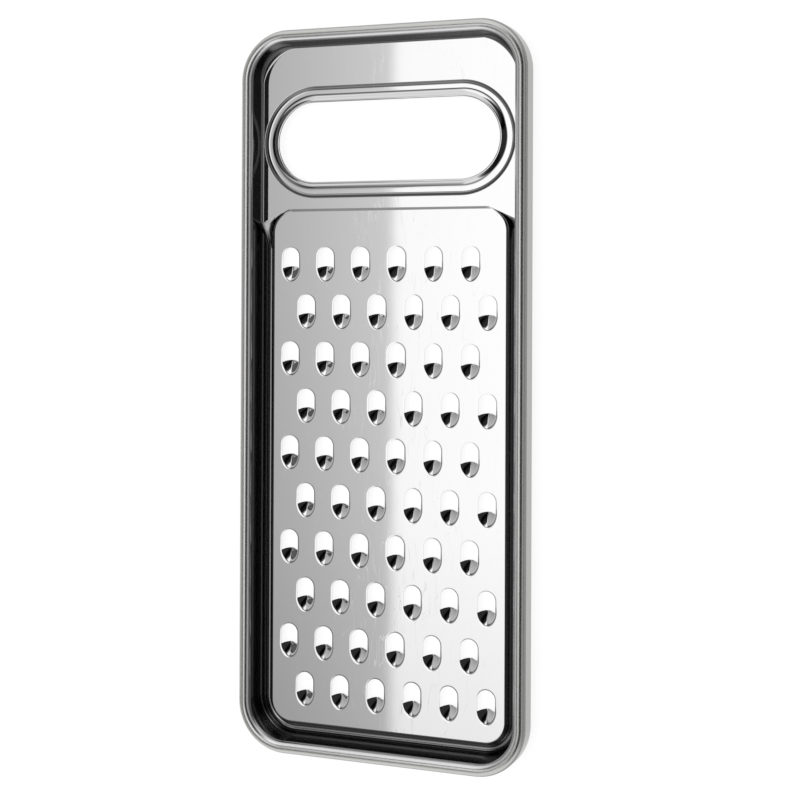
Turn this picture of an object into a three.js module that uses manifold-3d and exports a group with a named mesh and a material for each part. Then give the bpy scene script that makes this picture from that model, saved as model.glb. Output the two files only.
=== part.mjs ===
import * as THREE from 'three';
import { mergeVertices } from 'three/addons/utils/BufferGeometryUtils.js';
import Module from 'manifold-3d';

// Flat grater pressed from one sheet of polished stainless steel, with a wire in its rolled rim.
// X runs across, Y towards the finger opening, Z up. The grater lies with its hollow side up,
// on the ridge that its gutter makes underneath. All sizes are in millimetres.

// The sheet and the tray that it is drawn into.
const sheetThickness = 0.7;
const trayInnerWidth = 97.2;
const trayInnerLength = 244.7;
const trayCornerRadius = 13;
const trayWallHeight = 5.7;
const trayFloorFillet = 0.6;

// The rim is rolled outwards over a wire and tucked in under itself.
const wireDiameter = 2.4;
const wireClearance = 0.3;
const rimSkirtHeight = 5.3;
const rimTuckRadius = 1;
const rimTuckGap = 0.9;

// The finger opening and the half-round groove pressed round it.
const openingHeight = 28.2;
const openingLipWidth = 1.05;
const collarGrooveWidth = 4.7;
const collarGrooveDepth = 2;
const collarMouthRadius = 1;
const collarSideMargin = 1.85;
const collarTopMargin = 14.9;

// The grating panel, a little below the handle floor, with a gutter on three of its sides.
const panelRecess = 0.8;
const panelStepRun = 0.7;
const panelCornerRadius = 8;
const bridgeBelowCollar = 4.3;
const gutterWidth = 4.4;
const gutterDepth = 3.5;
const gutterFillet = 1.1;
const gutterLipRadius = 1;
const gutterWallInset = 0.15;
const gutterEndRadius = 8;
const gutterEndSetback = 0.4;

// One tooth is an arched slot above a hollow hood whose upper edge cuts.
const slotWidth = 6.4;
const slotHeight = 7.4;
const cuttingEdgeRise = 0.8;
const hoodLength = 4.4;
const hoodDepth = 1.7;
const toothColumnPitch = 13.5;
const toothRowPitch = 16.66;
const toothRowStagger = 6.25;
const toothSideMargin = 4;
const toothTopMargin = 12;
const toothBottomMargin = 6.8;

// How finely the round stretches are cut into flat faces.
const cornerSteps = 3;
const arcSteps = 3;
const crestSteps = 6;
const wireSides = 8;
const slotSteps = 2;
const hoodSteps = 3;
const cutMargin = 1;
const joinDepth = 0.1;
const edgeOverrun = 0.4;

// Heights of the sheet's upper surface, from the ridge that it rests on.
const gutterHeight = sheetThickness;
const panelHeight = gutterHeight + gutterDepth;
const floorHeight = panelHeight + panelRecess;
const rimHeight = floorHeight + trayWallHeight;

// Half widths and edges that the pieces share.
const trayHalfWidth = trayInnerWidth / 2;
const trayHalfLength = trayInnerLength / 2;
const rimRadius = wireDiameter / 2 + wireClearance + sheetThickness;
const collarWidth = openingLipWidth + collarGrooveWidth;
const openingHalfHeight = openingHeight / 2;
const openingHalfLength = trayHalfWidth - collarSideMargin - collarWidth;
const collarCentreY = trayHalfLength - collarTopMargin - collarWidth - openingHalfHeight;
const panelHalfWidth = trayHalfWidth - gutterWidth;
const panelTopY = collarCentreY - openingHalfHeight - collarWidth - bridgeBelowCollar;
const panelBottomY = gutterWidth - trayHalfLength;

const wasm = await Module();
wasm.setup();

const toSolid = (geometry) => {
  geometry.deleteAttribute('normal');
  geometry.deleteAttribute('uv');
  const merged = mergeVertices(geometry, 1e-5);
  return new wasm.Manifold(new wasm.Mesh({
    numProp: 3,
    vertProperties: new Float32Array(merged.attributes.position.array),
    triVerts: new Uint32Array(merged.index.array),
  }));
};

const toGeometry = (solid) => {
  const mesh = solid.getMesh();
  const geometry = new THREE.BufferGeometry();
  geometry.setAttribute('position', new THREE.BufferAttribute(new Float32Array(mesh.vertProperties), 3));
  geometry.setIndex(new THREE.BufferAttribute(new Uint32Array(mesh.triVerts), 1));
  geometry.computeVertexNormals();
  return geometry;
};

// A rectangle with round corners, whose low and high ends may have different radii.
const roundedOutline = (halfWidth, lowY, highY, lowRadius, highRadius = lowRadius) => {
  const outline = new THREE.Shape();
  const lowX = halfWidth - lowRadius;
  const highX = halfWidth - highRadius;
  outline.absarc(lowX, lowY + lowRadius, lowRadius, -Math.PI / 2, 0);
  outline.absarc(highX, highY - highRadius, highRadius, 0, Math.PI / 2);
  outline.absarc(-highX, highY - highRadius, highRadius, Math.PI / 2, Math.PI);
  outline.absarc(-lowX, lowY + lowRadius, lowRadius, Math.PI, 1.5 * Math.PI);
  outline.closePath();
  return outline.getPoints(cornerSteps).slice(0, -1);
};

// The outlines below take a distance that they grow by, so that nested walls stay parallel.
const trayOutline = (grow) => roundedOutline(
  trayHalfWidth + grow, -trayHalfLength - grow, trayHalfLength + grow, trayCornerRadius + grow);

const panelOutline = (grow) => roundedOutline(
  panelHalfWidth + grow, panelBottomY - grow, panelTopY + grow, panelCornerRadius + grow);

const gutterOutline = (grow) => roundedOutline(
  trayHalfWidth - gutterWallInset + grow,
  gutterWallInset - trayHalfLength - grow,
  panelTopY - gutterEndSetback + grow,
  trayCornerRadius - gutterWallInset + grow,
  gutterEndRadius + grow);

const openingShape = (grow) => {
  const radius = openingHalfHeight + grow;
  const centreX = openingHalfLength - openingHalfHeight;
  const outline = new THREE.Shape();
  outline.absarc(centreX, collarCentreY, radius, -Math.PI / 2, Math.PI / 2);
  outline.absarc(-centreX, collarCentreY, radius, Math.PI / 2, 1.5 * Math.PI);
  outline.closePath();
  return outline;
};

const openingOutline = (grow) => openingShape(grow).getPoints(2 * cornerSteps).slice(0, -1);

// Points of an arc in a section: across is the distance outwards, height is along Z.
const sectionArc = (across, height, radius, from, to, steps) => Array.from(
  { length: steps + 1 }, (_, i) => {
    const angle = from + (to - from) * i / steps;
    return { across: across + radius * Math.cos(angle), height: height + radius * Math.sin(angle) };
  });

// Joins a row of equal outlines by side faces; each ring lies at its own height.
const ringFaces = (rings, closed) => {
  const count = rings[0].points.length;
  const positions = rings.flatMap((ring) => ring.points.flatMap((p) => [p.x, p.y, ring.height]));
  const indices = [];
  const spans = closed ? rings.length : rings.length - 1;
  for (let r = 0; r < spans; r += 1) {
    const next = (r + 1) % rings.length;
    for (let i = 0; i < count; i += 1) {
      const j = (i + 1) % count;
      indices.push(r * count + i, r * count + j, next * count + j);
      indices.push(r * count + i, next * count + j, next * count + i);
    }
  }
  return { positions, indices, count };
};

const facesToGeometry = ({ positions, indices }) => {
  const geometry = new THREE.BufferGeometry();
  geometry.setAttribute('position', new THREE.Float32BufferAttribute(positions, 3));
  geometry.setIndex(indices);
  return geometry;
};

// A closed loft through outlines from the lowest to the highest, with flat ends.
const loft = (rings) => {
  const faces = ringFaces(rings, false);
  const last = (rings.length - 1) * faces.count;
  const lowEnd = THREE.ShapeUtils.triangulateShape(rings[0].points, []);
  const highEnd = THREE.ShapeUtils.triangulateShape(rings[rings.length - 1].points, []);
  lowEnd.forEach(([a, b, c]) => faces.indices.push(a, c, b));
  highEnd.forEach(([a, b, c]) => faces.indices.push(last + a, last + b, last + c));
  return facesToGeometry(faces);
};

const loftSection = (section, outline) => loft(
  section.map(({ across, height }) => ({ points: outline(across), height })));

// A section that closes on itself, carried once round an outline.
const sweepSection = (section, outline) => facesToGeometry(ringFaces(
  section.map(({ across, height }) => ({ points: outline(across), height })), true));

// The tray runs from the underside of its floor, up the outside of its wall, round the inside of
// the rolled rim, back over the outside of the rim and down the wall to the top of the floor.
const makeTray = () => {
  const fillet = trayFloorFillet;
  const rimInside = rimRadius - sheetThickness;
  const tuckInside = rimTuckRadius - sheetThickness;
  const skirtFoot = rimHeight - rimSkirtHeight;
  const tuckX = 2 * rimRadius - rimTuckRadius;
  const lipX = sheetThickness + rimTuckGap;
  const quarter = Math.PI / 2;
  const section = [
    ...sectionArc(-fillet, floorHeight + fillet, fillet + sheetThickness, -quarter, 0, arcSteps),
    ...sectionArc(rimRadius, rimHeight, rimInside, Math.PI, 0, crestSteps),
    ...sectionArc(tuckX, skirtFoot, tuckInside, 0, -quarter, arcSteps),
    { across: lipX, height: skirtFoot - tuckInside },
    { across: lipX, height: skirtFoot - rimTuckRadius },
    ...sectionArc(tuckX, skirtFoot, rimTuckRadius, -quarter, 0, arcSteps),
    ...sectionArc(rimRadius, rimHeight, rimRadius, 0, Math.PI, crestSteps),
    ...sectionArc(-fillet, floorHeight + fillet, fillet, 0, -quarter, arcSteps),
  ];
  return toSolid(loftSection(section, trayOutline));
};

// One side of the groove round the finger opening; inward is the sheet thickness on the underside.
const collarSection = (inward, topHeight) => {
  const half = collarGrooveWidth / 2;
  const slope = 2 * Math.atan(collarGrooveDepth / half);
  const valleyRadius = half / Math.sin(slope) - collarMouthRadius;
  const middle = openingLipWidth + half;
  const mouthHeight = floorHeight - collarMouthRadius;
  const valleyHeight = floorHeight - collarGrooveDepth + valleyRadius;
  const up = Math.PI / 2;
  const mouth = collarMouthRadius - inward;
  const valley = valleyRadius + inward;
  return [
    { across: middle + half, height: topHeight },
    { across: middle - half, height: topHeight },
    ...sectionArc(middle - half, mouthHeight, mouth, up, up - slope, arcSteps),
    ...sectionArc(middle, valleyHeight, valley, -up - slope, -up + slope, crestSteps),
    ...sectionArc(middle + half, mouthHeight, mouth, up + slope, up, arcSteps),
  ];
};

// The gutter is the space inside its outline, less an island that carries the panel.
const makeGutter = (inward, topHeight) => {
  const quarter = Math.PI / 2;
  const foot = gutterHeight + gutterFillet;
  const basin = [
    ...sectionArc(-gutterFillet, foot, gutterFillet + inward, -quarter, 0, arcSteps),
    { across: inward, height: topHeight },
  ];
  const island = [
    ...sectionArc(gutterFillet, foot, gutterFillet + inward, 1.5 * Math.PI, Math.PI, arcSteps),
    ...sectionArc(-gutterLipRadius, panelHeight - gutterLipRadius, gutterLipRadius - inward, 0, quarter, arcSteps),
  ];
  const below = { across: island[0].across, height: island[0].height - cutMargin };
  return toSolid(loftSection(basin, gutterOutline)).subtract(
    toSolid(loftSection([below, ...island], panelOutline)));
};

// The step down from the handle floor to the panel.
const makePanelStep = (inward, topHeight) => toSolid(loftSection([
  { across: -panelStepRun / 2, height: panelHeight - inward },
  { across: panelStepRun / 2, height: floorHeight - inward },
  { across: panelStepRun / 2, height: topHeight },
], panelOutline));

// Plan of the slot; its lower side is the cutting edge, which rises towards the middle.
const slotShape = () => {
  const half = slotWidth / 2;
  const edgeRadius = (half * half + cuttingEdgeRise * cuttingEdgeRise) / (2 * cuttingEdgeRise);
  const edgeAngle = Math.asin(half / edgeRadius);
  const up = Math.PI / 2;
  const shape = new THREE.Shape();
  shape.absarc(0, cuttingEdgeRise - edgeRadius, edgeRadius, up + edgeAngle, up - edgeAngle, true);
  shape.absarc(0, slotHeight - half, half, 0, Math.PI);
  shape.closePath();
  return shape;
};

// Plan of the hood, a rounded point that hangs from the ends of the cutting edge.
const hoodOutline = (grow) => {
  const half = slotWidth / 2 + grow;
  const tip = -hoodLength - grow;
  const shape = new THREE.Shape();
  shape.moveTo(-half, 0);
  shape.bezierCurveTo(-half * 0.92, tip * 0.62, -half * 0.42, tip, 0, tip);
  shape.bezierCurveTo(half * 0.42, tip, half * 0.92, tip * 0.62, half, 0);
  shape.lineTo(half * 0.9, cuttingEdgeRise + edgeOverrun);
  shape.lineTo(-half * 0.9, cuttingEdgeRise + edgeOverrun);
  shape.closePath();
  return shape.getPoints(hoodSteps).slice(0, -1);
};

// The hood narrows in straight lines to a point just past the middle of its cutting edge.
const makeHood = (planLevel, apexLevel, grow, topLevel) => {
  const apexY = cuttingEdgeRise + edgeOverrun;
  const scale = (topLevel - apexLevel) / (planLevel - apexLevel);
  const points = hoodOutline(grow).map(
    (p) => new THREE.Vector2(p.x * scale, apexY + (p.y - apexY) * scale));
  const positions = points.flatMap((p) => [p.x, p.y, topLevel]);
  positions.push(0, apexY, apexLevel);
  const indices = THREE.ShapeUtils.triangulateShape(points, []).flat();
  points.forEach((_, i) => indices.push((i + 1) % points.length, i, points.length));
  return toSolid(facesToGeometry({ positions, indices }));
};

const extrudeBetween = (shape, low, high, curveSegments) => {
  const geometry = new THREE.ExtrudeGeometry(shape, { depth: high - low, bevelEnabled: false, curveSegments });
  geometry.translate(0, 0, low);
  return toSolid(geometry);
};

// Feet of the cutting edges, in rows that step sideways by turns.
const toothPlaces = () => {
  const toothLength = slotHeight + hoodLength;
  const rowRoom = panelTopY - panelBottomY - toothTopMargin - toothBottomMargin - toothLength;
  const columnRoom = 2 * (panelHalfWidth - toothSideMargin) - slotWidth - toothRowStagger;
  const rows = Math.max(1, Math.floor(rowRoom / toothRowPitch) + 1);
  const columns = Math.max(1, Math.floor(columnRoom / toothColumnPitch) + 1);
  const places = [];
  for (let row = 0; row < rows; row += 1) {
    const shift = (row % 2 === 0 ? 1 : -1) * toothRowStagger / 2;
    const y = panelBottomY + toothBottomMargin + hoodLength + row * toothRowPitch;
    for (let column = 0; column < columns; column += 1) {
      places.push([(column - (columns - 1) / 2) * toothColumnPitch + shift, y, 0]);
    }
  }
  return places;
};

const joinAll = (solids) => solids.reduce((whole, solid) => whole.add(solid));

const makeSheet = () => {
  const thickness = sheetThickness;
  const insideFloor = floorHeight - joinDepth;
  const aboveFloor = floorHeight + cutMargin;
  const insidePanel = panelHeight - thickness / 2;
  const hoodSlope = Math.atan(hoodDepth / (slotWidth / 2));
  const hoodSkin = thickness / Math.cos(hoodSlope);
  const hoodGrow = thickness * Math.tan(hoodSlope / 2);
  const panelUnderside = panelHeight - thickness;
  const hoodBottom = panelHeight - hoodDepth;

  const pressed = makeTray()
    .add(toSolid(sweepSection(collarSection(thickness, insideFloor), openingOutline)))
    .add(makeGutter(thickness, insideFloor))
    .add(makePanelStep(thickness, insideFloor));
  const hollows = toSolid(sweepSection(collarSection(0, aboveFloor), openingOutline))
    .add(makeGutter(0, aboveFloor))
    .add(makePanelStep(0, aboveFloor))
    .add(extrudeBetween(openingShape(0), gutterHeight, aboveFloor, 2 * cornerSteps));

  const hood = makeHood(panelUnderside, hoodBottom - hoodSkin, hoodGrow, insidePanel);
  const hollow = makeHood(panelHeight, hoodBottom, 0, panelHeight + thickness);
  const slot = extrudeBetween(slotShape(), hoodBottom - hoodSkin - cutMargin, aboveFloor, slotSteps);
  const cut = hollow.add(slot);
  const places = toothPlaces();
  const hoods = joinAll(places.map((place) => hood.translate(place)));
  const cuts = joinAll(places.map((place) => cut.translate(place)));
  return pressed.subtract(hollows).add(hoods).subtract(cuts);
};

// The wire lies inside the crest of the rolled rim, all the way round.
const makeWire = () => sweepSection(
  sectionArc(rimRadius, rimHeight, wireDiameter / 2, 0, 2 * Math.PI, wireSides).slice(0, -1), trayOutline);

const polishedSteel = new THREE.MeshStandardMaterial({ color: 0xc9cbce, roughness: 0.12, metalness: 1 });
const drawnSteel = new THREE.MeshStandardMaterial({ color: 0xa8aaad, roughness: 0.4, metalness: 1 });

const graterSheet = new THREE.Mesh(toGeometry(makeSheet()), polishedSteel);
graterSheet.name = 'grater_sheet';

const rimWire = new THREE.Mesh(toGeometry(toSolid(makeWire())), drawnSteel);
rimWire.name = 'rim_wire';

const flatGrater = new THREE.Group();
flatGrater.name = 'flat_grater';
flatGrater.add(graterSheet, rimWire);

export default flatGrater;
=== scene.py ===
import math

import bmesh
import bpy
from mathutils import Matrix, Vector, geometry


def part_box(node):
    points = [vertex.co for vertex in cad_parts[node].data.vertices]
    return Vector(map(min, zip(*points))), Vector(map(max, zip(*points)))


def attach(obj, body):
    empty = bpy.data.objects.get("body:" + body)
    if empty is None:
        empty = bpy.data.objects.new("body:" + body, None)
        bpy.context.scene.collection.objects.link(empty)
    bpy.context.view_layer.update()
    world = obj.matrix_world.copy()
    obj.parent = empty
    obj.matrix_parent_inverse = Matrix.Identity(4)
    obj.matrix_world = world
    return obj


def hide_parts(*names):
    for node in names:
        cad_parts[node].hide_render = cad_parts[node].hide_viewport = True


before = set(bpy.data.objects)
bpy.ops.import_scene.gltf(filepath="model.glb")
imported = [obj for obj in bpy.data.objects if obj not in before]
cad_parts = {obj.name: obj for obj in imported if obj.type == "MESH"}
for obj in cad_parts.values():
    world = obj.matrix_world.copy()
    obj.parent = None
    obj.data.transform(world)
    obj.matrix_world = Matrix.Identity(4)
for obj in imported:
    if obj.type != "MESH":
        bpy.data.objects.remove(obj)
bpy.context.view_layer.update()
mm = 0.001
quarter = math.pi / 2
up = Vector((0, 0, 1))
sheetLow, sheetHigh = (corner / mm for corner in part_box("grater_sheet"))
wireLow, wireHigh = (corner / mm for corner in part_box("rim_wire"))
print("frame loaded, sheet", [round(size, 2) for size in sheetHigh - sheetLow], "mm")


def spread(start, end, steps):
    return [start + (end - start) * k / steps for k in range(steps + 1)]


def between(first, second, share):
    # takes numbers and shader sockets alike
    return first + (second - first) * share


def clamp(value):
    return min(max(value, 0), 1)


def addObject(name, data):
    made = bpy.data.objects.new(name, data)
    bpy.context.scene.collection.objects.link(made)
    return made


# camera at the photo's angle, for a square picture
view = dict(place=(0.21415, 0.03465, 0.5220), yaw=0.384, pitch=0.005, roll=0.0043,
            sensor=36.0, lens=72.77, shiftY=-0.144)


def addCamera():
    data = bpy.data.cameras.new("photoCamera")
    data.sensor_width = view["sensor"]
    data.lens = view["lens"]
    data.shift_y = view["shiftY"]
    camera = addObject("photoCamera", data)
    camera.rotation_mode = "ZXY"
    camera.rotation_euler = (view["pitch"], view["yaw"], view["roll"])
    camera.location = view["place"]
    bpy.context.scene.camera = camera


addCamera()
print("camera set")


class Socket:
    # wraps an output socket, so that shader maths reads as plain sums
    def __init__(self, tree, socket=None):
        self.tree = tree
        self.socket = socket

    def node(self, kind, settings, inputs, output=0):
        made = self.tree.nodes.new(kind)
        stops = settings.get("stops")
        for name, value in settings.items():
            if name != "stops":
                setattr(made, name, value)
        if stops:
            ramp = made.color_ramp.elements
            while len(ramp) > 1:
                ramp.remove(ramp[-1])
            ramp[0].position = stops[0][0]
            for position, level in stops[1:]:
                ramp.new(position)
            for element, (position, level) in zip(ramp, stops):
                element.color = (level, level, level, 1)
        for name, value in inputs.items():
            if isinstance(value, Socket):
                self.tree.links.new(value.socket, made.inputs[name])
            else:
                made.inputs[name].default_value = value
        return Socket(self.tree, made.outputs[output])

    def math(self, operation, *values):
        return self.node("ShaderNodeMath", {"operation": operation}, dict(enumerate(values)))

    def __add__(self, other):
        return self.math("ADD", self, other)

    def __sub__(self, other):
        return self.math("SUBTRACT", self, other)

    def __mul__(self, other):
        return self.math("MULTIPLY", self, other)

    def __truediv__(self, other):
        return self.math("DIVIDE", self, other)

    def __rsub__(self, other):
        return self.math("SUBTRACT", other, self)

    def __abs__(self):
        return self.math("ABSOLUTE", self)

    __radd__ = __add__
    __rmul__ = __mul__

    def above(self, other):
        return self.math("MAXIMUM", self, other)

    def below(self, other):
        return self.math("MINIMUM", self, other)

    def step(self, low, high, atLow=0.0, atHigh=1.0):
        inputs = {"Value": self, "From Min": low, "From Max": high, "To Min": atLow, "To Max": atHigh}
        return self.node("ShaderNodeMapRange", {"interpolation_type": "SMOOTHSTEP"}, inputs)

    def feed(self, node, name):
        self.tree.links.new(self.socket, node.inputs[name])


def newMaterial(name):
    material = bpy.data.materials.new(name)
    material.use_nodes = True
    shader = material.node_tree.nodes["Principled BSDF"]
    return material, shader, Socket(material.node_tree)


def axes(place):
    return [place.node("ShaderNodeSeparateXYZ", {}, {"Vector": place}, axis) for axis in "XYZ"]


def objectPlace(start):
    # in millimetres
    return [part / mm for part in axes(start.node("ShaderNodeTexCoord", {}, {}, "Object"))]


def attribute(start, name):
    return start.node("ShaderNodeAttribute", {"attribute_name": name}, {}, "Fac")


def noise(start, x, y, z, scale, detail, rough=0.5):
    place = start.node("ShaderNodeCombineXYZ", {}, {"X": x, "Y": y, "Z": z})
    return start.node("ShaderNodeTexNoise", {}, {"Vector": place, "Scale": scale, "Detail": detail,
                                                 "Roughness": rough})


def mixColor(start, factor, first, second, blend="MIX"):
    # inputs 6 and 7 and output 2 are the node's colours
    settings = {"data_type": "RGBA", "blend_type": blend}
    return start.node("ShaderNodeMix", settings, {"Factor": factor, 6: first, 7: second}, 2)


def raiseBump(start, shader, height):
    bump = start.node("ShaderNodeBump", {}, {"Height": height * mm, "Strength": 1.0, "Distance": 1.0})
    bump.feed(shader, "Normal")


# sizes of the pressing in millimetres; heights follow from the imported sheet
pressing = dict(thickness=0.7, cornerRadius=13.0, rimRadius=2.2, wallHeight=5.7, wallLean=math.radians(6),
                floorFillet=0.8, cornerSwell=1.3, gutterFillet=1.6, skirtHeight=5.3, tuckRadius=1.0,
                tuckGap=0.9, cornerSteps=16, crestSteps=20, filletSteps=6)
rimZ = sheetHigh.z - pressing["rimRadius"]
floorZ = rimZ - pressing["wallHeight"]
gutterZ = sheetLow.z + pressing["thickness"]
trayX = sheetHigh.x - 2 * pressing["rimRadius"]
trayY = sheetHigh.y - 2 * pressing["rimRadius"]

# finger opening with the round groove pressed about it
opening = dict(height=28.0, lipRadius=0.8, lipTurn=math.radians(32), innerSlope=math.radians(34),
               innerValley=4.2, valleyFlat=0.9, outerValley=1.5, mouthRadius=0.6, sideMargin=1.5,
               topMargin=14.9, endSteps=40, mouthSteps=6, valleySteps=6)
innerHalf = (opening["lipRadius"] + opening["innerValley"]) * math.sin(opening["innerSlope"])
grooveDepth = (opening["lipRadius"] + opening["innerValley"]) * (1 - math.cos(opening["innerSlope"]))
outerSlope = math.acos(1 - grooveDepth / (opening["outerValley"] + opening["mouthRadius"]))
outerHalf = (opening["outerValley"] + opening["mouthRadius"]) * math.sin(outerSlope)
lipHalf = opening["lipRadius"] * math.sin(opening["lipTurn"])
collarWidth = lipHalf + innerHalf + opening["valleyFlat"] + outerHalf
openingRadius = opening["height"] / 2
openingX = trayX - opening["sideMargin"] - collarWidth - openingRadius
openingY = trayY - opening["topMargin"] - collarWidth - openingRadius

# grating panel, the step down to it and the gutter, with a ramp up at each of the panel's upper corners
panel = dict(recess=0.8, cornerRadius=8.0, gutterWidth=4.4, bridge=4.1, stepRadius=0.5, lipRadius=1.0,
             rampStart=4.0, rampRun=10.0, rampTurn=math.radians(84), rampPull=0.6, rampSteps=28, rampSplits=4,
             levelRun=2.0, cornerSteps=3, profileSteps=5)
panelZ = floorZ - panel["recess"]
panelX = trayX - panel["gutterWidth"]
panelLow = panel["gutterWidth"] - trayY
panelHigh = openingY - openingRadius - collarWidth - panel["bridge"]
rampHigh = panelHigh - panel["rampStart"]

# one tooth: an arched slot over a hollow hood whose upper edge cuts; then how the teeth are set out
tooth = dict(slotWidth=6.4, slotHeight=7.4, edgeRise=0.8, hoodLength=4.4, hoodDepth=1.9, roll=0.55,
             sideWidth=0.92, sideLength=0.62, tipWidth=0.42, slotSlope=0.2, slopeFade=2.2,
             creaseFoot=0.5, creaseBow=0.35, creaseShare=0.92, outlineCrowd=1.8, edgeCrowd=1.5, hoodCrowd=1.4,
             hoodRays=14, edgeRays=4, archRays=16, sideRays=4, rollSteps=4, hoodSteps=6,
             columnPitch=13.5, rowPitch=16.66, stagger=6.25, columns=6, rows=10, bottomMargin=6.8)

# lengths in millimetres below which points count as one
joining = dict(shortest=1e-5, tiny=1e-6, weld=2e-3)


def arc(across, height, radius, start, end, steps):
    angles = spread(start, end, steps)
    return [(across + radius * math.cos(a), height + radius * math.sin(a)) for a in angles]


def insideLoop(point, loop):
    inside = False
    for a, b in zip(loop, loop[1:] + loop[:1]):
        if (a.y > point.y) != (b.y > point.y) and point.x < a.x + (b.x - a.x) * (point.y - a.y) / (b.y - a.y):
            inside = not inside
    return inside


class SheetSurface:
    # collects the upper side of the sheet, patch by patch, in millimetres
    def __init__(self):
        self.mesh = bmesh.new()
        self.flat = self.mesh.faces.layers.int.new("flat")

    def face(self, points, flat=0):
        kept = [p for k, p in enumerate(points) if (p - points[k - 1]).length > joining["shortest"]]
        if len(kept) > 2:
            made = self.mesh.faces.new([self.mesh.verts.new(p) for p in kept])
            made[self.flat] = flat

    def grid(self, rows, closed=False):
        pairs = zip(rows, rows[1:] + rows[:1] if closed else rows[1:])
        for first, second in pairs:
            for k in range(len(first) - 1):
                self.face([first[k], first[k + 1], second[k + 1], second[k]])

    def flatRegion(self, loops, height):
        # the first loop bounds the region, the others are holes in it
        points = [Vector((p.x, p.y)) for loop in loops for p in loop]
        owner = [k for k, loop in enumerate(loops) for p in loop]
        edges = []
        first = 0
        for loop in loops:
            count = len(loop)
            edges += [(first + k, first + (k + 1) % count) for k in range(count)]
            first += count
        found = geometry.delaunay_2d_cdt(points, edges, [], 1, joining["tiny"])
        places, triangles, origins = found[0], found[2], found[3]
        for triangle in triangles:
            corners = [places[k] for k in triangle]
            owners = {owner[origins[k][0]] for k in triangle}
            middle = (corners[0] + corners[1] + corners[2]) / 3
            if len(owners) > 1 or owners == {0} and insideLoop(middle, loops[0]):
                self.face([Vector((c.x, c.y, height)) for c in corners], 1)

    def weld(self):
        bmesh.ops.remove_doubles(self.mesh, verts=self.mesh.verts[:], dist=joining["weld"])
        bmesh.ops.recalc_face_normals(self.mesh, faces=self.mesh.faces[:])
        self.mesh.faces.ensure_lookup_table()
        if next(f for f in self.mesh.faces if f[self.flat]).normal.z < 0:
            bmesh.ops.reverse_faces(self.mesh, faces=self.mesh.faces[:])
        self.mesh.verts.index_update()

    def vertexNormals(self):
        normals = []
        for v in self.mesh.verts:
            if any(f[self.flat] for f in v.link_faces):
                normals.append(up.copy())
            else:
                total = sum((f.normal * f.calc_area() for f in v.link_faces), Vector())
                normals.append(total.normalized())
        return normals


def gutterShare(base):
    # 0 at the handle's floor, 1 at the bottom of the gutter
    return (floorZ - base) / (floorZ - gutterZ)


def wallProfile(base, swell=0.0):
    # from the floor up the leaning wall, over the rolled rim and down to its tucked lip
    lean = pressing["wallLean"]
    radius = pressing["rimRadius"]
    fillet = between(pressing["floorFillet"], pressing["gutterFillet"], gutterShare(base)) + swell
    wallTop = (radius * (1 - math.cos(lean)), rimZ + radius * math.sin(lean))
    wallFoot = base + fillet - fillet * math.sin(lean)
    centre = wallTop[0] - (wallTop[1] - wallFoot) * math.tan(lean) - fillet * math.cos(lean)
    skirtFoot = rimZ - pressing["skirtHeight"]
    tuck = pressing["tuckRadius"]
    lipEnd = pressing["thickness"] + pressing["tuckGap"]
    return (arc(centre, base + fillet, fillet, -quarter, -lean, pressing["filletSteps"])
            + arc(radius, rimZ, radius, math.pi - lean, 0, pressing["crestSteps"])
            + arc(2 * radius - tuck, skirtFoot, tuck, 0, -quarter, pressing["filletSteps"])
            + [(lipEnd, skirtFoot - tuck)])


def islandProfile(base):
    # a rounded step between the panel and the level beside it, up or down
    deep = gutterShare(base)
    lip = between(panel["stepRadius"], panel["lipRadius"], deep)
    foot = between(panel["stepRadius"], pressing["gutterFillet"], deep)
    rise = base - panelZ
    turn = math.acos(max(1 - abs(rise) / (lip + foot), 0))
    side = 1 if rise > 0 else -1
    first = arc(-lip * math.sin(turn), lip, lip, -quarter, turn - quarter, panel["profileSteps"])
    last = arc(foot * math.sin(turn), abs(rise) - foot, foot, quarter + turn, quarter, panel["profileSteps"])
    return [(across, panelZ + side * height) for across, height in first + last]


def along(station, profile):
    place, out = station
    return [Vector((place.x + out.x * across, place.y + out.y * across, z)) for across, z in profile]


def cornerStations(x, y, radius, start, end, steps):
    outs = [Vector((math.cos(a), math.sin(a))) for a in spread(start, end, steps)]
    return [(Vector((x, y)) + radius * out, out) for out in outs]


def mirrored(stations):
    flip = [(Vector((-p.x, p.y)), Vector((-n.x, n.y))) for p, n in stations]
    return flip[::-1]


def gutterStations():
    # matching places on the tray and on the panel, from the right ramp round to the left one, with the
    # gutter's height there; each ramp starts on the panel's corner and ends lower down, at the wall
    radius = panel["cornerRadius"]
    trayRadius = pressing["cornerRadius"]
    centreX = panelX - radius
    steps = panel["rampSteps"]
    aside = Vector((1, 0))
    inner = cornerStations(centreX, panelHigh - radius, radius, panel["rampTurn"], 0, steps)
    tray = [(Vector((trayX, rampHigh - panel["rampRun"] * k / steps)), aside) for k in range(steps + 1)]
    stages = [(k / steps)**panel["rampPull"] for k in range(steps + 1)]
    bases = [gutterZ + (floorZ - gutterZ) * (1 + math.cos(math.pi * stage)) / 2 for stage in stages]
    level = rampHigh - panel["rampRun"] - panel["levelRun"]
    inner.append((Vector((panelX, level)), aside))
    tray.append((Vector((trayX, level)), aside))
    turns = pressing["cornerSteps"]
    tray += cornerStations(trayX - trayRadius, trayRadius - trayY, trayRadius, 0, -quarter, turns)
    inner += cornerStations(centreX, panelLow + radius, radius, 0, -quarter, turns)
    bases += [gutterZ] * (len(tray) - len(bases))
    return tray + mirrored(tray), inner + mirrored(inner), bases + bases[::-1]


def handleStations():
    radius = pressing["cornerRadius"]
    right = [(Vector((trayX, rampHigh)), Vector((1, 0)))]
    right += cornerStations(trayX - radius, trayY - radius, radius, 0, quarter, pressing["cornerSteps"])
    return right + mirrored(right)


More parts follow.
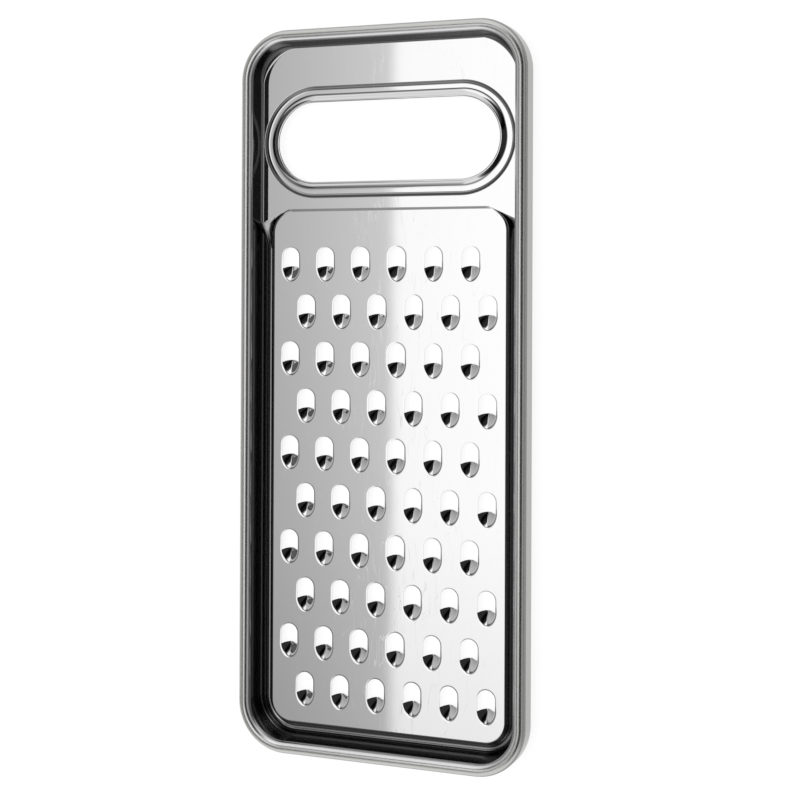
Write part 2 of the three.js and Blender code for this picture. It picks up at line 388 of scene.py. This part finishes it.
def panelTopStations():
    radius = panel["cornerRadius"]
    right = cornerStations(panelX - radius, panelHigh - radius, radius, panel["rampTurn"], quarter,
                           panel["cornerSteps"])
    return right + mirrored(right)


def collarProfile():
    # from the cut edge over the round lip, through the shallow groove and up to the floor
    lip = opening["lipRadius"]
    mouth = opening["mouthRadius"]
    inner = opening["innerValley"]
    outer = opening["outerValley"]
    slope = opening["innerSlope"]
    low = floorZ - grooveDepth
    steps = opening["mouthSteps"]
    curves = opening["valleySteps"]
    return (arc(lipHalf, floorZ - lip, lip, quarter + opening["lipTurn"], quarter - slope, steps)
            + arc(lipHalf + innerHalf, low + inner, inner, -quarter - slope, -quarter, curves)[1:]
            + arc(collarWidth - outerHalf, low + outer, outer, -quarter, outerSlope - quarter, curves)
            + arc(collarWidth, floorZ - mouth, mouth, quarter + outerSlope, quarter, steps)[1:])


def collarStations():
    right = cornerStations(openingX, openingY, openingRadius, -quarter, quarter, opening["endSteps"])
    return right + mirrored(right)


def hoodOutline(share):
    # the left half of the hood's plan, from the slot's lower corner to the rounded tip
    half = tooth["slotWidth"] / 2
    tip = -tooth["hoodLength"]
    a = Vector((-half, 0))
    b = Vector((-half * tooth["sideWidth"], tip * tooth["sideLength"]))
    c = Vector((-half * tooth["tipWidth"], tip))
    d = Vector((0, tip))
    rest = 1 - share
    place = a * rest**3 + b * 3 * rest**2 * share + c * 3 * rest * share**2 + d * share**3
    run = (b - a) * rest**2 + (c - b) * 2 * rest * share + (d - c) * share**2
    return place, Vector((run.y, -run.x)).normalized()


def rayEnd(k):
    # on the cutting edge as far as its middle, then on the crease that runs from there to the tip
    half = tooth["slotWidth"] / 2
    rise = tooth["edgeRise"]
    last = tooth["edgeRays"]
    if k > last:
        share = (k - last) / (tooth["hoodRays"] - last)
        run = rise + tooth["hoodLength"]
        y = rise - (run - tooth["creaseFoot"]) * share
        reach = (y + tooth["hoodLength"]) / run
        return Vector((0, y)), tooth["hoodDepth"] * reach * (1 + tooth["creaseBow"] * (1 - reach))
    x = -half * (1 - k / last)**tooth["edgeCrowd"]
    radius = (half * half + rise * rise) / (2 * rise)
    y = rise - radius + math.sqrt(radius * radius - x * x)
    return Vector((x, y)), tooth["hoodDepth"] * (1 - abs(x) / half)


def bentPoint(place, inward, inside, slope):
    # a point that far inside the outline, where the surface has rolled over and slopes down
    roll = tooth["roll"]
    drop = slope * inside if inside > roll else slope * (inside + roll)**2 / (4 * roll)
    return Vector((*(place + inward * inside), -drop))


def toothRays():
    # each ray runs from the flat panel to the slot's rim, to the cutting edge or to the crease
    half = tooth["slotWidth"] / 2
    steps = tooth["hoodSteps"]
    outer = spread(-tooth["roll"], 0, tooth["rollSteps"])
    shares = [tooth["creaseShare"] * (k / steps)**tooth["hoodCrowd"] for k in range(1, steps + 1)] + [1.0]
    hood = []
    for k in range(tooth["hoodRays"] + 1):
        place, out = hoodOutline((k / tooth["hoodRays"])**tooth["outlineCrowd"])
        end, depth = rayEnd(k)
        run = (end - place).length
        slope = depth / run if run > joining["tiny"] else 0
        hood.append((place, out, end, run, slope))
    cornerSlope = hood[1][4]
    hood[0] = hood[0][:4] + (cornerSlope,)
    left = []
    for place, out, end, run, slope in hood:
        inward = (end - place) / run if run > joining["tiny"] else Vector((0, 0))
        ray = [bentPoint(place, -out, inside, slope) for inside in outer]
        left.append(ray + [bentPoint(place, inward, run * share, slope) for share in shares])
    arch = []
    shoulder = tooth["slotHeight"] - half
    heights = [shoulder * k / tooth["sideRays"] for k in range(tooth["sideRays"])]
    stations = [(Vector((-half, height)), Vector((-1, 0))) for height in heights]
    stations += cornerStations(0, shoulder, half, math.pi, quarter, tooth["archRays"] // 2)
    for place, out in stations:
        fade = clamp(place.y / tooth["slopeFade"])
        slope = cornerSlope + (tooth["slotSlope"] - cornerSlope) * fade * fade * (3 - 2 * fade)
        arch.append([bentPoint(place, -out, inside, slope) for inside in outer])
    return left, arch


def mirroredRays(rays):
    return [[Vector((-p.x, p.y, p.z)) for p in ray] for ray in rays[::-1]]


def toothPlaces():
    places = []
    middle = (tooth["columns"] - 1) / 2
    for row in range(tooth["rows"]):
        shift = (1 if row % 2 == 0 else -1) * tooth["stagger"] / 2
        y = panelLow + tooth["bottomMargin"] + tooth["hoodLength"] + row * tooth["rowPitch"]
        for column in range(tooth["columns"]):
            places.append(Vector(((column - middle) * tooth["columnPitch"] + shift, y, panelZ)))
    return places


def pressSheet():
    surface = SheetSurface()
    splits = panel["rampSplits"]
    gutterRows = []
    rampRows = []
    for trayStation, innerStation, base in zip(*gutterStations()):
        island = along(innerStation, islandProfile(base))
        wall = along(trayStation, wallProfile(base))
        rampRows.append([island[-1].lerp(wall[0], k / splits) for k in range(1, splits)])
        gutterRows.append(island + rampRows[-1] + wall)
    surface.grid(gutterRows)
    handleRows = []
    for place, out in handleStations():
        swell = pressing["cornerSwell"] * abs(2 * out.x * out.y)
        handleRows.append(along((place, out), wallProfile(floorZ, swell)))
    surface.grid(handleRows)
    stepRows = [along(station, islandProfile(floorZ)) for station in panelTopStations()]
    surface.grid(stepRows)
    collarRows = [along(station, collarProfile()) for station in collarStations()]
    surface.grid(collarRows, closed=True)
    print("tray, gutter and collar laid out")

    left, arch = toothRays()
    hoodRays = left + mirroredRays(left)[1:]
    archRays = arch + mirroredRays(arch)[1:]
    holes = []
    for place in toothPlaces():
        hood = [[p + place for p in ray] for ray in hoodRays]
        slot = [[p + place for p in ray] for ray in archRays]
        surface.grid(hood)
        surface.grid(slot)
        last = len(slot[0])
        surface.grid([slot[-1], hood[-1][:last]])
        surface.grid([hood[0][:last], slot[0]])
        holes.append([ray[0] for ray in slot] + [ray[0] for ray in hood[::-1]])
    floorLoop = [row[0] for row in handleRows] + rampRows[-1][::-1]
    floorLoop += [row[-1] for row in stepRows[::-1]] + rampRows[0]
    surface.flatRegion([floorLoop, [row[-1] for row in collarRows]], floorZ)
    panelLoop = [row[0] for row in stepRows] + [row[0] for row in gutterRows[::-1]][1:-1]
    surface.flatRegion([panelLoop] + holes, panelZ)
    surface.weld()
    print("teeth pressed:", len(holes), "upper faces:", len(surface.mesh.faces))
    return surface


def wallDistance(p):
    # how far a point lies outside the tray's rounded outline
    radius = pressing["cornerRadius"]
    sideX = abs(p.x) - (trayX - radius)
    sideY = abs(p.y) - (trayY - radius)
    return math.hypot(max(sideX, 0), max(sideY, 0)) + min(max(sideX, sideY), 0) - radius


# painted shade in the bends, the gutter and at the wall's foot: how far each band runs in millimetres, the
# tilt at which it is full, and its share of the dark
paintedShadeBands = dict(stepReach=1.2, stepTilt=0.15, stepInset=6, stepFade=3, grooveEdge=0.01, grooveTilt=0.08,
               grooveInner=0.12, grooveOuter=0.92, grooveTurn=0.10, rampDrop=17, rampTop=0.1, rampReach=13.0,
               rampFoot=1.4, rampShare=0.6, handleReach=4.0, wallReach=0.6, wallTilt=0.35, wallShare=0.82,
               depthStart=0.3, depthRun=1.2, rimStart=1.8, rimRun=1.0, topRun=4, cornerShift=0.2, cornerRun=5,
               cornerShare=0.6)


def paintedShadeShare(p, normal):
    # share of painted shade: 1 in the gutter and at the wall's foot, less in the other bends
    beyond = wallDistance(p)
    reach = panel["gutterWidth"] + paintedShadeBands["stepReach"]
    if abs(p.y - panelHigh) < paintedShadeBands["stepReach"] and beyond < -reach:
        fromEnd = (panelX - paintedShadeBands["stepInset"] - abs(p.x)) / paintedShadeBands["stepFade"]
        return clamp((1 - normal.z) / paintedShadeBands["stepTilt"]) * clamp(fromEnd)
    groove = math.hypot(max(abs(p.x) - openingX, 0), p.y - openingY) - openingRadius
    if groove < collarWidth - paintedShadeBands["grooveEdge"]:
        turned = (p.y - openingY) / (openingRadius + collarWidth)
        share = paintedShadeBands["grooveInner"]
        if groove > collarWidth - outerHalf:
            share = paintedShadeBands["grooveOuter"] - paintedShadeBands["grooveTurn"] * turned
        return clamp((1 - normal.z) / paintedShadeBands["grooveTilt"]) * share
    onRamp = panelHigh - paintedShadeBands["rampDrop"] < p.y <= panelHigh + paintedShadeBands["rampTop"]
    if onRamp:
        reach = paintedShadeBands["rampReach"]
    elif p.y > panelHigh:
        reach = paintedShadeBands["handleReach"]
    if beyond < -reach or beyond > paintedShadeBands["wallReach"]:
        return 0.0
    tilt = math.sqrt(max(1 - normal.z**2, 0)) / paintedShadeBands["wallTilt"]
    if onRamp and beyond < -paintedShadeBands["rampFoot"]:
        tilt = min(tilt, 1) * paintedShadeBands["rampShare"]
    depth = (panelZ - paintedShadeBands["depthStart"] - p.z) / paintedShadeBands["depthRun"]
    rim = (rimZ + paintedShadeBands["rimStart"] - p.z) / paintedShadeBands["rimRun"]
    # painted shade is full in the tray's rounded corners and along its top wall, and paler at the gutter's
    # lower corners
    outX = max(abs(p.x) - trayX + pressing["cornerRadius"], 0)
    outY = max(abs(p.y) - trayY + pressing["cornerRadius"], 0)
    bent = 2 * outX * outY / max(outX * outX + outY * outY, 1)
    atTop = clamp((p.y - trayY) / paintedShadeBands["topRun"] + 1)
    deepest = between(paintedShadeBands["wallShare"], 1, max(bent, atTop))
    shift = paintedShadeBands["cornerShift"]
    corner = math.hypot(abs(p.x) - panelX - shift, p.y - panelLow + shift)
    pale = 1 - paintedShadeBands["cornerShare"] * clamp(1 - corner / paintedShadeBands["cornerRun"])
    return deepest * clamp(max(tilt, depth)) * clamp(rim) * pale


def sheetObject(surface, name):
    # the underside lies one thickness below the upper side; cut edges close the two
    normals = surface.vertexNormals()
    points = [v.co.copy() for v in surface.mesh.verts]
    count = len(points)
    points += [p - n * pressing["thickness"] for p, n in zip(points, normals)]
    wear = [0.0] * len(points)
    # painted shade share at each point of the upper side; the underside gets none
    paintedShade = [paintedShadeShare(p, n) for p, n in zip(points, normals)] + [0.0] * count
    faces = []
    faceNormals = []
    for f in surface.mesh.faces:
        corners = [v.index for v in f.verts]
        faces.append(corners)
        faceNormals += [normals[k] for k in corners]
    for f in surface.mesh.faces:
        corners = [v.index + count for v in f.verts][::-1]
        faces.append(corners)
        faceNormals += [-normals[k - count] for k in corners]
    strips = []
    edgeNormals = {}
    for f in surface.mesh.faces:
        for loop in f.loops:
            if loop.edge.is_boundary:
                a = loop.vert.index
                b = loop.link_loop_next.vert.index
                strips.append([b, a, a + count, b + count])
                normal = (points[a] - points[b]).cross(points[a + count] - points[a])
                for k in strips[-1]:
                    edgeNormals[k] = edgeNormals.get(k, Vector()) + normal
                    wear[k] = 1.0
    for strip in strips:
        faces.append(strip)
        faceNormals += [edgeNormals[k].normalized() for k in strip]
    mesh = bpy.data.meshes.new(name)
    mesh.from_pydata([p * mm for p in points], [], faces)
    mesh.polygons.foreach_set("use_smooth", [True] * len(faces))
    mesh.normals_split_custom_set(faceNormals)
    mesh.attributes.new("wear", "FLOAT", "POINT").data.foreach_set("value", wear)
    mesh.attributes.new("paintedShade", "FLOAT", "POINT").data.foreach_set("value", paintedShade)
    return addObject(name, mesh)


# finish of the sheet and the shade painted on it: colours, roughness, painted shades and heights of marks,
# and from where to where each comes in, in millimetres beyond the tray or above the middle of the rim
finishAndPaintedShade = dict(mirrorColor=(0.812, 0.803, 0.812, 1), satinColor=(0.62, 0.616, 0.606, 1),
              mirrorRough=0.035, satinRough=0.25, leastRough=0.02, hazeRough=0.03, drawnRough=0.02,
              rolledRough=0.16, scratchRough=0.10, wearRough=0.2, hollowRough=0.12,
              plainTone=0.96, rolledTone=0.16, drawnTone=0.03,
              hollowShade=0.88, skirtShade=0.36, shoulderShade=0.40,
              waveHeight=0.008, drawnHeight=0.0002, rolledHeight=0.004, scratchDepth=0.0004,
              satinFrom=(0.0, 0.7), satinToneFrom=(1.2, 2.2), skirtFrom=(1.9, 0.7),
              shoulderTop=(1.8, 1.2), shoulderFoot=(-0.1, 0.5), shoulderSide=(2.0, 2.6))

# how close the marks lie, per millimetre across the grater and along it
marks = dict(hazeScale=0.035, waveScale=0.055, drawnScale=0.5, drawnAcross=9, drawnAlong=0.12,
             rolledScale=0.6, rolledAcross=5, rolledAlong=0.06, rolledMix=0.6,
             bendScale=0.9, bendAcross=0.3, bendAlong=0.05, bendReach=14,
             scratchScale=0.35, scratchAcross=7, scratchAlong=0.16, scratchLean=0.6, scratchFrom=(0.66, 0.74))


def pressedSteel():
    material, shader, start = newMaterial("pressedSteel")
    x, y, z = objectPlace(start)
    radius = pressing["cornerRadius"]
    sideX = abs(x) - (trayX - radius)
    sideY = abs(y) - (trayY - radius)
    outX = sideX.above(0)
    outY = sideY.above(0)
    beyond = start.math("SQRT", outX * outX + outY * outY) + sideX.above(sideY).below(0) - radius
    overRim = z - rimZ
    rim = beyond.step(*finishAndPaintedShade["satinFrom"])

    haze = noise(start, x, y, z, marks["hazeScale"], detail=3)
    wave = noise(start, x, y, z, marks["waveScale"], detail=1)
    drawnX, drawnZ = (part * marks["drawnAcross"] for part in (x, z))
    drawn = noise(start, drawnX, y * marks["drawnAlong"], drawnZ, marks["drawnScale"], detail=3)
    rolledX, rolledY = (part * marks["rolledAcross"] for part in (beyond, z))
    rolledZ = (x + y) * marks["rolledAlong"]
    rolled = noise(start, rolledX, rolledY, rolledZ, marks["rolledScale"], detail=4, rough=marks["rolledMix"])
    bend = noise(start, x * marks["bendAcross"], y * marks["bendAlong"], z, marks["bendScale"], detail=2)
    scratchX = (x + bend * marks["bendReach"]) * marks["scratchAcross"]
    scratchY = (y - x * marks["scratchLean"]) * marks["scratchAlong"]
    scratches = noise(start, scratchX, scratchY, z, marks["scratchScale"], detail=1)
    scratches = scratches.step(*marks["scratchFrom"])
    wear = attribute(start, "wear")
    paintedShade = attribute(start, "paintedShade")

    mirrorRough = finishAndPaintedShade["mirrorRough"] + (haze - 0.5) * finishAndPaintedShade["hazeRough"]
    mirrorRough = mirrorRough + (drawn - 0.5) * finishAndPaintedShade["drawnRough"] + scratches * finishAndPaintedShade["scratchRough"]
    satinRough = finishAndPaintedShade["satinRough"] + (rolled - 0.5) * finishAndPaintedShade["rolledRough"]
    rough = between(mirrorRough, satinRough, rim)
    rough = rough + wear * finishAndPaintedShade["wearRough"] + paintedShade * finishAndPaintedShade["hollowRough"]
    rough.above(finishAndPaintedShade["leastRough"]).feed(shader, "Roughness")

    tone = finishAndPaintedShade["plainTone"] + (rolled - 0.5) * finishAndPaintedShade["rolledTone"] * rim
    tone = tone + (drawn - 0.5) * finishAndPaintedShade["drawnTone"]
    # painted shade: the rim's outer skirt and the outer shoulder below its crest are darkened
    skirt = overRim.step(*finishAndPaintedShade["skirtFrom"]) * rim
    shoulder = overRim.step(*finishAndPaintedShade["shoulderTop"]) * overRim.step(*finishAndPaintedShade["shoulderFoot"])
    shoulder = shoulder * beyond.step(*finishAndPaintedShade["shoulderSide"])
    # the painted shades darken the tone in the gutter and bends, on the skirt and on the rim's outer shoulder
    for part, shade in ((paintedShade, "hollowShade"), (skirt, "skirtShade"), (shoulder, "shoulderShade")):
        tone = tone * (1 - part * finishAndPaintedShade[shade])
    grey = start.node("ShaderNodeCombineColor", {}, {"Red": tone, "Green": tone, "Blue": tone})
    satin = beyond.step(*finishAndPaintedShade["satinToneFrom"])
    color = mixColor(start, satin, finishAndPaintedShade["mirrorColor"], finishAndPaintedShade["satinColor"])
    mixColor(start, 1.0, color, grey, "MULTIPLY").feed(shader, "Base Color")

    height = wave * finishAndPaintedShade["waveHeight"] + drawn * finishAndPaintedShade["drawnHeight"]
    height = height + rolled * rim * finishAndPaintedShade["rolledHeight"] - scratches * finishAndPaintedShade["scratchDepth"]
    raiseBump(start, shader, height)
    shader.inputs["Metallic"].default_value = 1.0
    return material


sheet = sheetObject(pressSheet(), "pressed_sheet")
sheet.data.materials.append(pressedSteel())
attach(sheet, "root")
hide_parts("grater_sheet")
print("sheet dressed, faces:", len(sheet.data.polygons))


# drawn wire that the rim is rolled over, with the marks of the die
wire = dict(sides=20, color=(0.5, 0.5, 0.49, 1), darkShare=0.8, rough=0.34, roughSpread=0.2,
            markScale=0.5, markAcross=4, markUp=12, markHeight=0.004)


def drawnSteel():
    material, shader, start = newMaterial("drawnSteel")
    x, y, z = objectPlace(start)
    acrossX, acrossY = (part * wire["markAcross"] for part in (x, y))
    dies = noise(start, acrossX, acrossY, z * wire["markUp"], wire["markScale"], detail=3)
    (wire["rough"] + (dies - 0.5) * wire["roughSpread"]).feed(shader, "Roughness")
    dark = tuple(c * wire["darkShare"] for c in wire["color"][:3]) + (1,)
    mixColor(start, dies, dark, wire["color"]).feed(shader, "Base Color")
    raiseBump(start, shader, dies * wire["markHeight"])
    shader.inputs["Metallic"].default_value = 1.0
    return material


def layWire():
    radius = (wireHigh.z - wireLow.z) / 2
    height = (wireHigh.z + wireLow.z) / 2
    across = wireHigh.x - radius - trayX
    ring = arc(across, height, radius, 0, 2 * math.pi, wire["sides"])
    tray = handleStations()[1:-1]
    low = [(Vector((p.x, -p.y)), Vector((n.x, -n.y))) for p, n in tray[::-1]]
    body = bmesh.new()
    rows = [[body.verts.new(p * mm) for p in along(station, ring[:-1])] for station in tray + low]
    for first, second in zip(rows, rows[1:] + rows[:1]):
        for k in range(len(first)):
            body.faces.new([first[k - 1], first[k], second[k], second[k - 1]])
    bmesh.ops.recalc_face_normals(body, faces=body.faces[:])
    mesh = bpy.data.meshes.new("stiffening_wire")
    body.to_mesh(mesh)
    mesh.polygons.foreach_set("use_smooth", [True] * len(mesh.polygons))
    return addObject("stiffening_wire", mesh)


rimWire = layWire()
rimWire.data.materials.append(drawnSteel())
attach(rimWire, "root")
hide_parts("rim_wire")
print("wire laid in the rim")


# white table and the studio round it: levels by angle across the grater and along it, in degrees
studio = dict(tableSize=6.0, tableGlow=0.88, tableTone=0.92, lampPower=36.0, lampSize=1.6, lampHeight=1.7,
              screenEdge=(-22.5, -22.0), farWall=(0.42, 1.0), farTurn=(-44, -31), farRise=(26, 32),
              roomFrom=(44, 54), roomLow=0.30, roomHigh=0.64, roomHeight=(0.0, 0.7), roomEnds=(0.45, 0.85),
              wallAcross=[(-120, 0.55), (-90, 0.74), (-60, 0.66), (-50, 0.30), (-36, 0.20), (-30.5, 0.20),
                          (-28.5, 0.50), (-26, 0.60), (-22, 0.80)],
              wallLengthways=[(-60, 1.0), (-36, 0.80), (-27, 0.32), (-18.4, 0.26), (-16.3, 0.68),
                              (-8, 0.88), (0, 0.97), (11, 1.0), (14.5, 0.25), (20, 0.20), (25, 0.70),
                              (31, 1.0)],
              screenAcross=[(-22, 1.23), (-18, 1.28), (0, 1.28), (5, 0.30), (10, 0.03), (52, 0.03),
                            (62, 0.55), (85, 0.75), (110, 0.60)],
              screenLengthways=[(-60, 1.0), (-36, 0.80), (-27, 0.28), (-18.4, 0.22), (-16.3, 0.82),
                                (-8, 0.98), (0, 1.0), (11, 1.0), (14.5, 0.07), (20, 0.06), (25, 0.60),
                                (31, 1.0)])


def paintStudio():
    # a grey wall on the left and a white screen beside it overhead, and a plain room lower down
    world = bpy.data.worlds.new("studio")
    bpy.context.scene.world = world
    world.use_nodes = True
    start = Socket(world.node_tree)
    glow = world.node_tree.nodes["Background"]
    x, y, z = axes(start.node("ShaderNodeTexCoord", {}, {}, "Generated"))
    turn = start.math("DEGREES", start.math("ARCTAN2", x, z))
    rise = start.math("DEGREES", start.math("ARCSINE", y))

    def level(angle, name):
        stops = [((degrees + 180) / 360, tone) for degrees, tone in studio[name]]
        return start.node("ShaderNodeValToRGB", {"stops": stops}, {"Fac": angle / 360 + 0.5})

    wall = level(turn, "wallAcross") * level(rise, "wallLengthways")
    farWall = turn.step(*studio["farTurn"], *studio["farWall"])
    wall = between(wall, farWall, rise.step(*studio["farRise"]))
    screen = level(turn, "screenAcross") * level(rise, "screenLengthways")
    lit = between(wall, screen, turn.step(*studio["screenEdge"]))
    low = start.math("DEGREES", start.math("ARCCOSINE", z)).step(*studio["roomFrom"])
    room = z.step(*studio["roomHeight"], studio["roomLow"], studio["roomHigh"])
    room = between(room, 1, abs(y).step(*studio["roomEnds"]))
    lit = between(lit, room, low)
    seen = start.node("ShaderNodeLightPath", {}, {}, "Is Camera Ray")
    between(lit, 1, seen).feed(glow, "Strength")
    glow.inputs["Color"].default_value = (1, 1, 1, 1)


def setTable():
    half = studio["tableSize"] / 2
    mesh = bpy.data.meshes.new("table")
    corners = [(-half, -half, 0), (half, -half, 0), (half, half, 0), (-half, half, 0)]
    mesh.from_pydata(corners, [], [(0, 1, 2, 3)])
    table = addObject("table", mesh)
    material, shader, start = newMaterial("whiteTable")
    nodes = material.node_tree.nodes
    nodes.remove(shader)
    tone = studio["tableTone"]
    matt = start.node("ShaderNodeBsdfDiffuse", {}, {"Color": (tone, tone, tone, 1)})
    light = start.node("ShaderNodeEmission", {}, {"Strength": 1.0})
    kinds = ("Camera", "Glossy", "Transmission")
    rays = [start.node("ShaderNodeLightPath", {}, {}, f"Is {kind} Ray") for kind in kinds]
    seen = rays[0].above(rays[1]).above(rays[2]) * studio["tableGlow"]
    mixed = start.node("ShaderNodeMixShader", {}, {0: seen, 1: matt, 2: light})
    mixed.feed(nodes["Material Output"], "Surface")
    mesh.materials.append(material)


def hangLamp():
    data = bpy.data.lights.new("softLamp", "AREA")
    data.size = studio["lampSize"]
    data.energy = studio["lampPower"]
    lamp = addObject("softLamp", data)
    lamp.location = (0, 0, studio["lampHeight"])
    lamp.visible_glossy = False


paintStudio()
setTable()
hangLamp()
bpy.context.scene.view_settings.view_transform = "Standard"
print("studio set")
